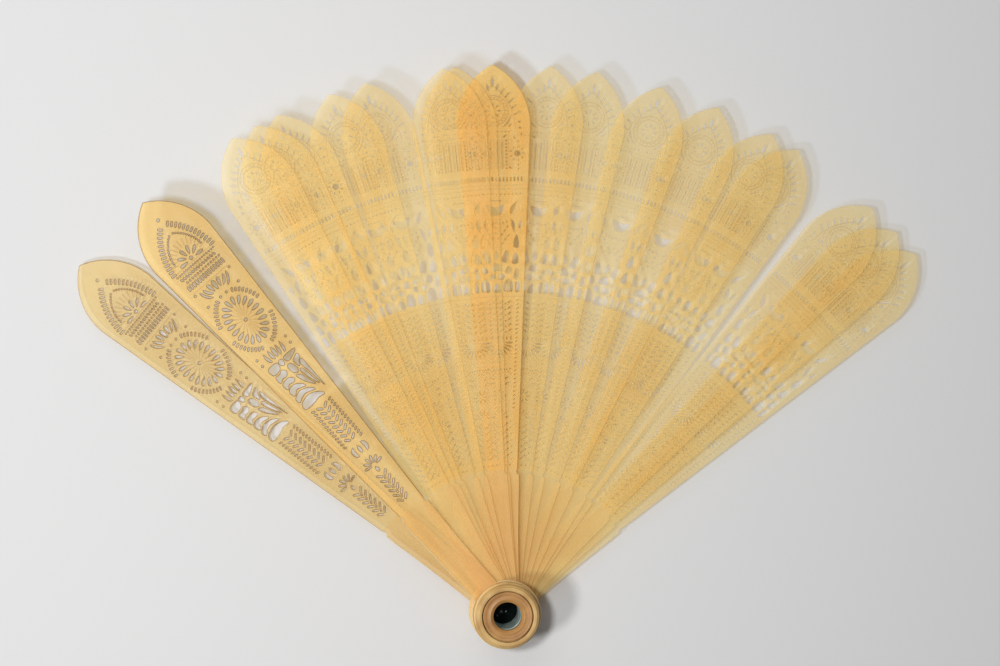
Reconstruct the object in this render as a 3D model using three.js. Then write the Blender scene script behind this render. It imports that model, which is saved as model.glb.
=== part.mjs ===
// A brise fan of pale horn, spread part way and lying flat on its rear collar.
//
// Nineteen thin sticks lie between two stouter guards. All of them are threaded on a hollow
// turned barrel, which is the rivet of the fan and the tube of a small spyglass as well:
// a collar on each end keeps the stack together, and a turned ring holds each lens.
//
// Each stick is one flat plate with a round head, a plain narrow gorge and a blade that
// widens to a pointed gothic arch. The blade is pierced with fretwork: teardrops that follow
// the arch, rosettes, a band that is mostly cut away, and slanted slots down to the gorge.
//
// Millimetres, +Z up. The origin is on the pivot's axis, at the rear collar's flat face.
// A stick is drawn with +Y from the pivot to its tip and +X across it.

import * as THREE from "three";

// Driving sizes of a stick
const TIP = 155;
const ARCH_BASE = 138;
const ARCH_HALF_WIDTH = 10.4;
const BLADE_FOOT = 41;
const BLADE_FOOT_HALF_WIDTH = 4.4;
const GORGE_HALF_WIDTH = 4.8;
const GORGE_SWELL = 36;
const NECK_HALF_WIDTH = 4.1;
const NECK = 10.5;
const HEAD_RADIUS = 9.8;
const NOTCH_DEPTH = 0.7;

// Driving sizes of the stack
const STICK_COUNT = 19;
const STICK_THICKNESS = 0.45;
const GUARD_THICKNESS = 0.9;
const PLAY = 0.15;
const COLLAR_HEIGHT = 2.4;

// Driving sizes of the pivot, as radii
const BARREL_RADIUS = 6;
const LIGHT_BORE = 4;
const LENS_SEAT = 5;
const LENS_RADIUS = 4.7;
const COLLAR_BORE = 6.3;
const RING_POCKET = 7.3;
const RING_RADIUS = 7;
const RIM_RADIUS = 8.2;
const BEAD_RADIUS = 9;
const FOOT_RADIUS = 9.4;
const TURNED_SIDES = 20;

// The ribbon that spaced the sticks is lost, so they lie unevenly. These are the angles from
// +X of the centre lines, in degrees, from the back guard up the stack to the front guard.
// The back guard has swung round beneath the sticks and shows beside the front guard.
// Three sticks near the middle lie on one another and show one tip.
const SPREAD = [
  140.7, 40.6, 43.8, 47.5, 57.5, 60.7, 67.1, 73.4, 80.4, 85.3, 91.4,
  91.5, 91.6, 95.5, 96.7, 105.0, 108.8, 114.7, 117.2, 119.9, 131.3,
];

const STICK_PITCH = STICK_THICKNESS + PLAY;
const BACK_GUARD_BOTTOM = COLLAR_HEIGHT + PLAY;
const FIRST_STICK_BOTTOM = BACK_GUARD_BOTTOM + GUARD_THICKNESS + PLAY;
const FRONT_GUARD_BOTTOM = FIRST_STICK_BOTTOM + STICK_COUNT * STICK_PITCH;
const FRONT_COLLAR_BOTTOM = FRONT_GUARD_BOTTOM + GUARD_THICKNESS + PLAY;

const horn = new THREE.MeshStandardMaterial({ color: 0xebc878, roughness: 0.32, metalness: 0 });
const guardHorn = new THREE.MeshStandardMaterial({ color: 0xe6ba6c, roughness: 0.3, metalness: 0 });
const collarHorn = new THREE.MeshStandardMaterial({ color: 0xc89655, roughness: 0.35, metalness: 0 });
const ringHorn = new THREE.MeshStandardMaterial({ color: 0xd39a58, roughness: 0.28, metalness: 0 });
const glass = new THREE.MeshStandardMaterial({ color: 0x59645f, roughness: 0.06, metalness: 0 });

const at = (x, y) => new THREE.Vector2(x, y);

// Points on an arc about (x, y), from one angle to the other, both ends included.
function arc(x, y, radius, from, to, steps) {
  const points = [];
  for (let k = 0; k <= steps; k += 1) {
    const angle = from + ((to - from) * k) / steps;
    points.push(at(x + radius * Math.cos(angle), y + radius * Math.sin(angle)));
  }
  return points;
}

// Half the blade's width at a distance from the pivot, below the arch.
function bladeHalfWidth(y) {
  const t = (y - BLADE_FOOT) / (ARCH_BASE - BLADE_FOOT);
  return BLADE_FOOT_HALF_WIDTH + t * (ARCH_HALF_WIDTH - BLADE_FOOT_HALF_WIDTH);
}

// The arch is two arcs that meet at the tip. Each one's centre is on the arch's base line,
// past the middle, where an arc that starts upright at the blade's edge ends at the tip.
const ARCH_HEIGHT = TIP - ARCH_BASE;
const ARCH_OFFSET = (ARCH_HEIGHT ** 2 - ARCH_HALF_WIDTH ** 2) / (2 * ARCH_HALF_WIDTH);
const ARCH_RADIUS = ARCH_HALF_WIDTH + ARCH_OFFSET;

// A stick's outline, anticlockwise: the right edge from the foot of the head to the tip, then
// its mirror image.
function stickOutline(headSteps, archSteps) {
  const neckAngle = Math.acos(NECK_HALF_WIDTH / HEAD_RADIUS);
  const swell = new THREE.QuadraticBezierCurve(
    at(NECK_HALF_WIDTH, NECK),
    at(NECK_HALF_WIDTH, (NECK + GORGE_SWELL) / 2),
    at(GORGE_HALF_WIDTH, GORGE_SWELL),
  );
  const right = [
    ...arc(0, 0, HEAD_RADIUS, -Math.PI / 2, neckAngle, headSteps),
    ...swell.getPoints(2),
    at(GORGE_HALF_WIDTH, BLADE_FOOT - 2),
    at(GORGE_HALF_WIDTH - NOTCH_DEPTH, BLADE_FOOT - 1),
    at(BLADE_FOOT_HALF_WIDTH, BLADE_FOOT),
    ...arc(-ARCH_OFFSET, ARCH_BASE, ARCH_RADIUS, 0, Math.acos(ARCH_OFFSET / ARCH_RADIUS), archSteps),
  ];
  const left = right.slice(1, -1).reverse().map((p) => at(-p.x, p.y));
  return [...right, ...left];
}

// An opening drawn along +Y from its own origin, turned to an angle from +Y and moved to (x, y).
function place(opening, x, y, angle) {
  const root = at(0, 0);
  return opening.map((p) => p.clone().rotateAround(root, angle).add(at(x, y)));
}

// A teardrop: a point at its root, and widest two thirds of the way out.
function teardrop(length, width) {
  return [at(0, 0), at(width / 2, 0.65 * length), at(0, length), at(-width / 2, 0.65 * length)];
}

// A leaf: two bowed edges from point to point.
function leaf(length, width) {
  const half = width / 2;
  return [
    at(0, 0),
    at(half, 0.35 * length),
    at(0.75 * half, 0.7 * length),
    at(0, length),
    at(-0.75 * half, 0.7 * length),
    at(-half, 0.35 * length),
  ];
}

// A pane: four sides, and a little narrower at its root, as the blade is.
function pane(length, width) {
  const root = 0.4 * width;
  return [at(-root, 0), at(root, 0), at(width / 2, length), at(-width / 2, length)];
}

// Teardrops round (0, y) with their points at the inner radius, from one angle to another.
function rosette(y, inner, length, width, from, to, count) {
  const closed = to - from >= 2 * Math.PI;
  const step = (to - from) / (closed ? count : count - 1);
  const petals = [];
  for (let k = 0; k < count; k += 1) {
    const angle = from + k * step;
    const x = inner * Math.cos(angle);
    petals.push(place(teardrop(length, width), x, y + inner * Math.sin(angle), angle - Math.PI / 2));
  }
  return petals;
}

// Teardrops that point outwards along the arch, on an arch inset from the edge: one at the
// top and the same number down each side.
function archRow(inset, length, width, perSide) {
  const radius = ARCH_RADIUS - inset;
  const top = Math.acos(ARCH_OFFSET / radius);
  const openings = [place(teardrop(1.3 * length, 1.2 * width), 0, ARCH_BASE + radius * Math.sin(top), 0)];
  for (let k = 1; k <= perSide; k += 1) {
    const angle = top * (1 - k / (perSide + 0.4));
    const x = radius * Math.cos(angle) - ARCH_OFFSET;
    const y = ARCH_BASE + radius * Math.sin(angle);
    openings.push(place(teardrop(length, width), x, y, angle - Math.PI / 2));
    openings.push(place(teardrop(length, width), -x, y, Math.PI / 2 - angle));
  }
  return openings;
}

// Mirrored pairs of slanted openings up the stick, as in a herringbone. Each starts at a share
// of the blade's half width from the centre line and leans outwards.
function pairs(opening, from, to, rows, share, lean) {
  const openings = [];
  for (let k = 0; k < rows; k += 1) {
    const y = rows === 1 ? from : from + ((to - from) * k) / (rows - 1);
    const x = share * bladeHalfWidth(y);
    openings.push(place(opening, x, y, -lean));
    openings.push(place(opening, -x, y, lean));
  }
  return openings;
}

const DEGREES = Math.PI / 180;

function stickFretwork() {
  return [
    ...archRow(5, 2.8, 1.2, 2),
    ...pairs(pane(5.2, 2.4), 91, 97.3, 2, 0.54, 4 * DEGREES),
    place(pane(5.2, 2.4), 0, 91, 0),
    place(pane(5.2, 2.4), 0, 97.3, 0),
    ...rosette(76, 2.6, 3, 1.3, -180 * DEGREES, 0, 5),
    ...pairs(teardrop(6, 1.3), 48, 48, 1, 0.12, 26 * DEGREES),
  ];
}

function guardFretwork() {
  return [
    ...archRow(5, 2.6, 1.1, 4),
    ...rosette(134, 2, 3.4, 1.3, 0, 180 * DEGREES, 5),
    ...rosette(111.5, 3.2, 3.3, 1.3, 0, 360 * DEGREES, 12),
    ...pairs(leaf(7, 2.4), 80, 92, 2, 0.42, 16 * DEGREES),
    place(leaf(8, 2.2), 0, 86.5, 0),
    place(leaf(6, 2), 0, 79, 0),
    ...pairs(teardrop(3.4, 1), 63.5, 74.5, 4, 0.14, 42 * DEGREES),
    ...rosette(59.5, 0.9, 2, 1, 45 * DEGREES, 405 * DEGREES, 4),
    ...pairs(teardrop(3, 1), 45, 53, 3, 0.14, 42 * DEGREES),
  ];
}

// A pierced plate: the outline with a round bore at the pivot, and its fretwork.
function plate(outline, boreSides, fretwork, thickness) {
  const boreRadius = (BARREL_RADIUS + 0.23) / Math.cos(Math.PI / boreSides);
  const shape = new THREE.Shape(outline);
  const bore = arc(0, 0, boreRadius, 0, 2 * Math.PI, boreSides).slice(0, -1);
  shape.holes = [bore, ...fretwork].map((points) => new THREE.Path(points));
  return new THREE.ExtrudeGeometry(shape, { depth: thickness, bevelEnabled: false });
}

// A turned piece about the pivot's axis, from points of radius and height. A closed profile
// runs anticlockwise and is closed here; one with `solid` set starts and ends on the axis.
function turned(profile, solid = false) {
  const points = profile.map(([radius, height]) => at(radius, height));
  if (!solid) points.push(points[0].clone());
  return new THREE.LatheGeometry(points, TURNED_SIDES).rotateX(Math.PI / 2);
}

const fan = new THREE.Group();

function add(name, geometry, material, parent = fan) {
  const mesh = new THREE.Mesh(geometry, material);
  mesh.name = name;
  parent.add(mesh);
  return mesh;
}

// A plate on the barrel, at its height in the stack and its angle in the spread.
function thread(name, geometry, material, bottom, angle) {
  const mesh = add(name, geometry, material);
  mesh.position.z = bottom;
  mesh.rotation.z = angle * DEGREES - Math.PI / 2;
}

const stickPlate = plate(stickOutline(6, 4), 10, stickFretwork(), STICK_THICKNESS);
const guardPlate = plate(stickOutline(10, 6), 16, guardFretwork(), GUARD_THICKNESS);

thread("back_guard", guardPlate, guardHorn, BACK_GUARD_BOTTOM, SPREAD[0]);
for (let i = 1; i <= STICK_COUNT; i += 1) {
  const name = `stick_${String(i).padStart(2, "0")}`;
  thread(name, stickPlate, horn, FIRST_STICK_BOTTOM + (i - 1) * STICK_PITCH, SPREAD[i]);
}
thread("front_guard", guardPlate, guardHorn, FRONT_GUARD_BOTTOM, SPREAD[STICK_COUNT + 1]);

// The barrel reaches from inside the rear collar to inside the front one. Each end is bored
// out to a seat, and the shoulder below the seat backs a lens.
const BARREL_BOTTOM = 1.6;
const BARREL_TOP = FRONT_COLLAR_BOTTOM + 2.55;
const REAR_SHOULDER = BARREL_BOTTOM + 1.8;
const FRONT_SHOULDER = BARREL_TOP - 3.4;
add("pivot_barrel", turned([
  [LENS_SEAT, BARREL_BOTTOM],
  [BARREL_RADIUS, BARREL_BOTTOM],
  [BARREL_RADIUS, BARREL_TOP],
  [LENS_SEAT, BARREL_TOP],
  [LENS_SEAT, FRONT_SHOULDER],
  [LIGHT_BORE, FRONT_SHOULDER],
  [LIGHT_BORE, REAR_SHOULDER],
  [LENS_SEAT, REAR_SHOULDER],
]), ringHorn);

// Each collar has a foot against the stack, a cove, a rounded bead and a flat rim, with a
// pocket inside the rim for its ring.
add("rear_collar", turned([
  [RING_POCKET, 0],
  [RIM_RADIUS, 0],
  [BEAD_RADIUS - 0.3, 0.3],
  [BEAD_RADIUS, 0.9],
  [BEAD_RADIUS - 0.2, 1.5],
  [FOOT_RADIUS, 1.9],
  [FOOT_RADIUS, COLLAR_HEIGHT],
  [COLLAR_BORE, COLLAR_HEIGHT],
  [COLLAR_BORE, 1.5],
  [RING_POCKET, 1.5],
]), collarHorn);

const RIM_TOP = FRONT_COLLAR_BOTTOM + 4.45;
const POCKET_FLOOR = FRONT_COLLAR_BOTTOM + 2.65;
add("front_collar", turned([
  [COLLAR_BORE, FRONT_COLLAR_BOTTOM],
  [FOOT_RADIUS, FRONT_COLLAR_BOTTOM],
  [FOOT_RADIUS, FRONT_COLLAR_BOTTOM + 0.6],
  [BEAD_RADIUS - 0.5, FRONT_COLLAR_BOTTOM + 1.3],
  [BEAD_RADIUS - 0.4, FRONT_COLLAR_BOTTOM + 2],
  [BEAD_RADIUS, RIM_TOP - 1.7],
  [BEAD_RADIUS, RIM_TOP - 1.1],
  [BEAD_RADIUS - 0.3, RIM_TOP - 0.4],
  [RIM_RADIUS, RIM_TOP],
  [RING_POCKET, RIM_TOP],
  [RING_POCKET, POCKET_FLOOR],
  [COLLAR_BORE, POCKET_FLOOR],
]), collarHorn);

// The eyepiece: a flat ring in the rear pocket, and a lens that is flat to the eye and hollow
// to the barrel, with a narrow boss that stands in the ring's hole.
const EYE_FACE = 0.7;
const EYE_BOSS = 3.6;
add("eyepiece_ring", turned([
  [LIGHT_BORE, 0.2],
  [RING_RADIUS - 0.2, 0.2],
  [RING_RADIUS, 0.4],
  [RING_RADIUS, 1.3],
  [LIGHT_BORE, 1.3],
]), ringHorn);
add("eyepiece_lens", turned([
  [0, EYE_FACE],
  [EYE_BOSS, EYE_FACE],
  [EYE_BOSS, BARREL_BOTTOM],
  [LENS_RADIUS, BARREL_BOTTOM],
  [LENS_RADIUS, REAR_SHOULDER - 0.3],
  [LIGHT_BORE, REAR_SHOULDER - 0.3],
  [2.2, REAR_SHOULDER - 1.2],
  [0, REAR_SHOULDER - 1.6],
], true), glass);

// The objective: a lens that bulges both ways, held down by a ring with a bevelled mouth and
// a spigot inside the barrel.
const LENS_BOTTOM = FRONT_SHOULDER + 0.3;
const LENS_TOP = LENS_BOTTOM + 1.5;
add("objective_lens", turned([
  [0, LENS_BOTTOM - 0.6],
  [2.2, LENS_BOTTOM - 0.4],
  [3.7, LENS_BOTTOM],
  [LENS_RADIUS, LENS_BOTTOM],
  [LENS_RADIUS, LENS_TOP],
  [3.8, LENS_TOP],
  [2.2, LENS_TOP + 0.55],
  [0, LENS_TOP + 0.8],
], true), glass);

const FLANGE_BOTTOM = BARREL_TOP + 0.3;
const FLANGE_TOP = FLANGE_BOTTOM + 1;
add("objective_ring", turned([
  [LIGHT_BORE, LENS_TOP + 0.3],
  [LENS_RADIUS, LENS_TOP + 0.3],
  [LENS_RADIUS, FLANGE_BOTTOM],
  [RING_RADIUS, FLANGE_BOTTOM],
  [RING_RADIUS, FLANGE_TOP - 0.2],
  [RING_RADIUS - 0.2, FLANGE_TOP],
  [LIGHT_BORE + 1, FLANGE_TOP],
  [LIGHT_BORE, FLANGE_TOP - 0.7],
]), ringHorn);

export default fan;
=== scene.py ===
# %% [markdown]
# # A brise fan of pale horn, with a spyglass in its pivot
#
# A brise fan has no paper or cloth leaf: it is all sticks. Each of these is one thin plate of
# horn, sawn to a pointed arch and pierced with a fretsaw, and all of them are threaded on a
# hollow turned barrel. The barrel holds two lenses, so the fan is a small spyglass as well.
#
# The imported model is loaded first. It is the fixed frame: every new piece takes the place of
# one of its solids and moves with that solid's body. The sizes below are in millimetres, as on
# the maker's bench, and are turned into Blender's metres when a mesh is made.

import bpy
import numpy as np
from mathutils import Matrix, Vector
from mathutils.geometry import delaunay_2d_cdt


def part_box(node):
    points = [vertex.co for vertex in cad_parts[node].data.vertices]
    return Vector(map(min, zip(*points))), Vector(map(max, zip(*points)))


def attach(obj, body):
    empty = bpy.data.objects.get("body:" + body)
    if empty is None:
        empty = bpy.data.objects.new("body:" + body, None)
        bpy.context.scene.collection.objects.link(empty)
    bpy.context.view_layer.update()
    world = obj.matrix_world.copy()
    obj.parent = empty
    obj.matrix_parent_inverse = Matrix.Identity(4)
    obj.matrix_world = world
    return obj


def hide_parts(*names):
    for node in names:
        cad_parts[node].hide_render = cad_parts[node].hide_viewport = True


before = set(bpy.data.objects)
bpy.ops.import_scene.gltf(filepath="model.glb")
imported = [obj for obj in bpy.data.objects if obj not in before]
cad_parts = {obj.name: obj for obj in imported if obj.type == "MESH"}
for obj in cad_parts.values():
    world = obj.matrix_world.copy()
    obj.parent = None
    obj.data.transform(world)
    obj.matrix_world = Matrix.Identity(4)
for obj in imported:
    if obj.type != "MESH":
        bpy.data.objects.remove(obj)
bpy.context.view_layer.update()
MM = 0.001

# %% [markdown]
# ## The camera
#
# The fan lies on a table and is seen from nearly straight above. The camera stands a little up
# and to the left of the picture's middle and leans back to it, so the tall pivot's front is
# seen a little to the lower right of its foot, and a sliver of its side and of its bore shows.
# A long lens from 1.5 m keeps the spread true. Its length follows from the width of the view.

# %% Camera
MID_STACK = 9 * MM
VIEW_DISTANCE = 1.5
VIEW_WIDTH = 280.7 * MM
VIEW_CENTRE = (-1.56 * MM, 79.26 * MM)
LEAN = (-0.08, 0.07, 1.0)

camera_data = bpy.data.cameras.new("above_the_table")
camera_data.lens = camera_data.sensor_width * VIEW_DISTANCE / VIEW_WIDTH
camera = bpy.data.objects.new("above_the_table", camera_data)
target = Vector((*VIEW_CENTRE, MID_STACK))
camera.location = target + Vector(LEAN) * VIEW_DISTANCE
camera.rotation_mode = "QUATERNION"
camera.rotation_quaternion = Vector((0, 0, 1)).rotation_difference(camera.location - target)
bpy.context.scene.collection.objects.link(camera)
bpy.context.scene.camera = camera
print("lens", round(camera_data.lens, 1), "mm, for a view", round(VIEW_WIDTH / MM), "mm wide")

# %% [markdown]
# ## Nodes as arithmetic
#
# A finish is a small sum of patterns, and sums read best as Python expressions. The class
# below wraps one output socket of a material. Adding, multiplying or comparing it adds the
# Math node that does this, and one method adds a node of any other type: its settings come
# first, because some of them change which sockets the node has.

# %% A socket that can be used in arithmetic
class Wire:
    """An output socket of a material's nodes. Arithmetic on it adds Math nodes."""

    def __init__(self, tree, socket=None):
        self.tree = tree
        self.socket = socket

    def node(self, kind, settings=None, sockets=None, output=0):
        """Adds a node, makes its settings, then sets or links its sockets. Gives one output."""
        made = self.tree.nodes.new("ShaderNode" + kind)
        for name, setting in (settings or {}).items():
            if name == "stops":
                for element, (position, colour) in zip(made.color_ramp.elements, setting):
                    element.position = position
                    element.color = colour
            else:
                setattr(made, name, setting)
        for name, value in (sockets or {}).items():
            if isinstance(value, Wire):
                self.tree.links.new(value.socket, made.inputs[name])
            else:
                made.inputs[name].default_value = value
        return Wire(self.tree, made.outputs[output])

    def outputs(self, names):
        """Wires from other outputs of the same node."""
        return [Wire(self.tree, self.socket.node.outputs[name]) for name in names]

    def math(self, operation, *operands):
        return self.node("Math", {"operation": operation}, dict(enumerate(operands)))

    def __add__(self, other):
        return self.math("ADD", self, other)

    def __mul__(self, other):
        return self.math("MULTIPLY", self, other)

    def __sub__(self, other):
        return self.math("SUBTRACT", self, other)

    def __rsub__(self, other):
        return self.math("SUBTRACT", other, self)

    def __truediv__(self, other):
        return self.math("DIVIDE", self, other)

    def __pow__(self, other):
        return self.math("POWER", self, other)

    def __abs__(self):
        return self.math("ABSOLUTE", self)

    __radd__ = __add__
    __rmul__ = __mul__

    def rise(self, low, high):
        """0 below low, 1 above high, and a smooth step between them."""
        settings = {"interpolation_type": "SMOOTHSTEP"}
        return self.node("MapRange", settings, {"Value": self, "From Min": low, "From Max": high})

    def band(self, centre, half_width, blur):
        """1 within half_width of centre, and fading to 0 over blur."""
        return 1 - abs(self - centre).rise(half_width, half_width + blur)

    def tint(self, low, high):
        """A colour that goes from low to high as this value goes from 0 to 1."""
        return self.node("Mix", {"data_type": "RGBA"}, {0: self, 6: low, 7: high}, 2)


def blank_material(name):
    """A material with nothing but its output, and a wire to start from."""
    material = bpy.data.materials.new(name)
    material.use_nodes = True
    material.node_tree.nodes.clear()
    return material, Wire(material.node_tree)


def finish_material(material, shader):
    """Ends a material in the given shader."""
    out = material.node_tree.nodes.new("ShaderNodeOutputMaterial")
    material.node_tree.links.new(shader.socket, out.inputs["Surface"])
    return material


def linear(red, green, blue):
    """A colour as seen on a screen, 0 to 255, as the linear numbers that a shader takes."""
    share = np.array([red, green, blue]) / 255
    value = np.where(share <= 0.04045, share / 12.92, ((share + 0.055) / 1.055) ** 2.4)
    return (*value.tolist(), 1.0)


print("a mid grey of 128 is", round(linear(128, 128, 128)[0], 3), "in a shader")

# %% [markdown]
# ## The table and the light
#
# The table is a plain pale sheet. A small lamp high on the left gives each plate a narrow crisp
# shadow on its right. A second lamp stands lower on the left and a little in front. It makes the
# longer soft shadow of the pivot, and leaves the far right of the table a little darker. The
# ceiling and a weak even light from all round fill the shadows.

# %% Table
TABLE_COLOUR = (0.62, 0.62, 0.619, 1.0)
TABLE_REACH = 1.2

table_mesh = bpy.data.meshes.new("table_top")
corners = np.array([(-1, -1), (1, -1), (1, 1), (-1, 1)]) * TABLE_REACH
table_mesh.from_pydata([(x, y, 0.0) for x, y in corners.tolist()], [], [(0, 1, 2, 3)])
table = bpy.data.objects.new("table_top", table_mesh)
bpy.context.scene.collection.objects.link(table)

paint, start = blank_material("pale_table")
place = start.node("TexCoord", output="Object")
speckle = start.node("TexNoise", None, {"Vector": place, "Scale": 900.0, "Detail": 2.0})
tooth = start.node("Bump", None, {"Strength": 0.08, "Distance": 0.0002, "Height": speckle})
sheet = start.node("BsdfPrincipled", None, {
    "Base Color": TABLE_COLOUR, "Roughness": 0.75, "Specular IOR Level": 0.2, "Normal": tooth,
})
table_mesh.materials.append(finish_material(paint, sheet))
print("table", round(2 * TABLE_REACH, 2), "m square")

# %% Lamps
AIM = Vector((0.0, 0.08, 0.0))
ROOM_COLOUR = (1.0, 0.99, 0.975, 1.0)
ROOM_LIGHT = 0.14
FACES_ON_A_RAY = 48


def soft_lamp(name, place, width, watts):
    """A square area lamp that faces the middle of the fan."""
    data = bpy.data.lights.new(name, "AREA")
    data.size = width
    data.energy = watts
    lamp = bpy.data.objects.new(name, data)
    lamp.location = place
    lamp.rotation_mode = "QUATERNION"
    lamp.rotation_quaternion = (Vector(place) - AIM).to_track_quat("Z", "Y")
    bpy.context.scene.collection.objects.link(lamp)


soft_lamp("spot", (-0.2, 0.1, 0.72), 0.07, 2.8)
soft_lamp("window", (-0.38, -0.08, 0.62), 0.09, 2.3)
soft_lamp("ceiling", (-0.12, 0.36, 0.4), 0.4, 0.6)

world = bpy.data.worlds.new("room")
world.use_nodes = True
world.node_tree.nodes["Background"].inputs["Color"].default_value = ROOM_COLOUR
world.node_tree.nodes["Background"].inputs["Strength"].default_value = ROOM_LIGHT
bpy.context.scene.world = world
bpy.context.scene.view_settings.view_transform = "Standard"

# A ray passes two faces of every plate it meets, and the plates lie deep at the pivot.
bpy.context.scene.cycles.transparent_max_bounces = FACES_ON_A_RAY
print("lamps:", len(bpy.data.lights))

# %% [markdown]
# ## Horn
#
# Thin horn passes most of the light that meets it, keeps back the blue, and scatters a little
# warm light of its own. So one plate on a pale table is straw yellow, and each plate more
# makes it deeper and more orange. Real volume scattering would need closed thick walls and
# much time. Here each face instead mixes a clear tinted shader with a solid one, and the
# depth of colour comes by itself from the number of faces on the way.
#
# The plate's own UV map, "along", has metres across the stick and from the pivot outwards. The
# grain runs along the stick, and the finest lines of the ornament are only engraved, not sawn
# through. On that map they are browner, shut out a little more light and dent the surface:
# rings, stripes, chevrons, cross lines, and rays that fill the middle of a rosette. Slow clouds
# on Object coordinates make each plate differ from its neighbour a little.

# %% Engraved lines
LINE = 0.05 * MM
LINE_FADE = 0.1 * MM
STRIPE_PITCH = 0.85 * MM
CHEVRON_PITCH = 1.1 * MM


def cross_lines(v, heights):
    """Thin lines across the plate at some heights."""
    return sum(v.band(height * MM, LINE, LINE_FADE) for height in heights)


def rays(u, v, height, tall, inner, outer, count, phase):
    """Lines that radiate round a point of the centre line, or round a taller oval about it."""
    up = (v - height * MM) / tall
    far = (u * u + up * up) ** 0.5
    turn = u.math("ARCTAN2", up, u) * count + phase
    ring = far.band((inner + outer) / 2 * MM, (outer - inner) / 2 * MM, 0.15 * MM)
    return u.math("COSINE", turn).rise(0.3, 0.9) * ring


def stick_engraving(u, v):
    """Rings round the medallion, an arch, stripes, cross lines and chevrons down the blade."""
    far = (u * u + (v - 142 * MM) ** 2.0) ** 0.5
    rings = far.band(3.3 * MM, LINE, LINE_FADE) + far.band(4.3 * MM, LINE, LINE_FADE)
    side = ((abs(u) + 9.0 * MM) ** 2.0 + (v - 137 * MM) ** 2.0) ** 0.5
    arch = side.band(15.2 * MM, LINE, LINE_FADE) * v.rise(136.9 * MM, 137.1 * MM)
    stripes = u.math("COSINE", u * (2 * np.pi / STRIPE_PITCH)).rise(0.5, 0.95)
    stripes = stripes * v.band(129.8 * MM, 4.2 * MM, LINE_FADE)
    slant = v + abs(u) * 1.1
    chevrons = u.math("COSINE", slant * (2 * np.pi / CHEVRON_PITCH)).rise(0.6, 0.98)
    chevrons = chevrons * v.band(66 * MM, 22 * MM, 0.5 * MM)
    middle = 1 - (abs(u) - v * 0.062).rise(-1.2 * MM, -1.0 * MM)
    panel = 1 - abs(u).rise(5.6 * MM, 5.8 * MM)
    bars = cross_lines(v, (134.9, 121.0, 119.9, 89.6))
    return rings + arch + stripes * panel * 0.8 + chevrons * middle * 0.7 + bars * 0.5


def guard_engraving(u, v):
    """Rays within the great rosette, over the half rosette and under the shell, and lines."""
    rosette = rays(u, v, 111.4, 1.62, 0.9, 3.0, 20.0, np.pi)
    over = rays(u, v, 134.2, 1.0, 4.2, 6.4, 28.0, 0.0) * v.rise(134.6 * MM, 134.9 * MM)
    shell = rays(u, v, 126.0, 1.0, 1.2, 2.8, 22.0, 0.0) * (1 - v.rise(125.4 * MM, 125.7 * MM))
    inner = (1 - abs(u).rise(6.2 * MM, 6.4 * MM)) * cross_lines(v, (133.5, 132.1, 129.5, 126.3))
    return rosette + over + shell + inner


print("engraved lines are", round(2 * LINE / MM, 2), "mm wide")

# %% Horn plates
GRAIN_STRETCH = (1.0, 0.07, 1.0)
GORGE_TOP = 40.4 * MM
BLADE_START = 41.2 * MM
GORGE_HORN = ((1.0, 1.0, 0.62, 1.0), (0.88, 0.8, 0.46, 1.0))
# Pale colours for a stick's sawn edges in the gorge: a painted highlight for edges that catch the light.
GORGE_EDGE_PAINTED_HIGHLIGHT = ((1.0, 0.9, 0.7, 1.0), (1.0, 0.84, 0.6, 1.0))
GUARD_GORGE = ((0.94, 0.74, 0.42, 1.0), (0.8, 0.56, 0.28, 1.0))
ENGRAVED_HORN = (0.42, 0.24, 0.09, 1.0)


def horn_plate(name, clear_share, tint, pale, deep, roughness, engraving, gorge_horn=GORGE_HORN):
    """Translucent horn for a plate's faces: a clear tinted shader mixed with a solid one."""
    material, start = blank_material(name)
    own_map = start.node("UVMap", {"uv_map": "along"})
    u, v = start.node("SeparateXYZ", None, {"Vector": own_map}).outputs("XY")
    stretch = start.node("VectorMath", {"operation": "MULTIPLY"}, {0: own_map, 1: GRAIN_STRETCH})
    grain = start.node("TexNoise", None, {"Vector": stretch, "Scale": 1500.0, "Detail": 2.0})
    streak = start.node("TexNoise", None, {"Vector": stretch, "Scale": 420.0, "Detail": 2.0})
    place = start.node("TexCoord", output="Object")
    cloud = start.node("TexNoise", None, {"Vector": place, "Scale": 45.0, "Detail": 2.0})
    depth = (streak * 0.8 + cloud * 0.9 - 0.35).rise(0.25, 0.75)
    gorge = (1 - v.rise(GORGE_TOP, BLADE_START)) * 0.8
    plain = gorge.tint(depth.tint(pale, deep), depth.tint(*gorge_horn))
    lines = engraving(u, v)
    colour = (lines * 0.7).tint(plain, ENGRAVED_HORN)
    height = grain * 0.35 - 0.5 * lines
    relief = start.node("Bump", None, {"Strength": 0.5, "Distance": 0.00012, "Height": height})
    solid = start.node("BsdfPrincipled", None, {
        "Base Color": colour, "Roughness": roughness + 0.1 * grain, "IOR": 1.55,
        "Specular IOR Level": 0.25, "Normal": relief,
    })
    clear = start.node("BsdfTransparent", None, {"Color": tint})
    share = clear_share - lines * 0.12
    return finish_material(material, start.node("MixShader", None, {0: share, 1: solid, 2: clear}))


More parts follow.
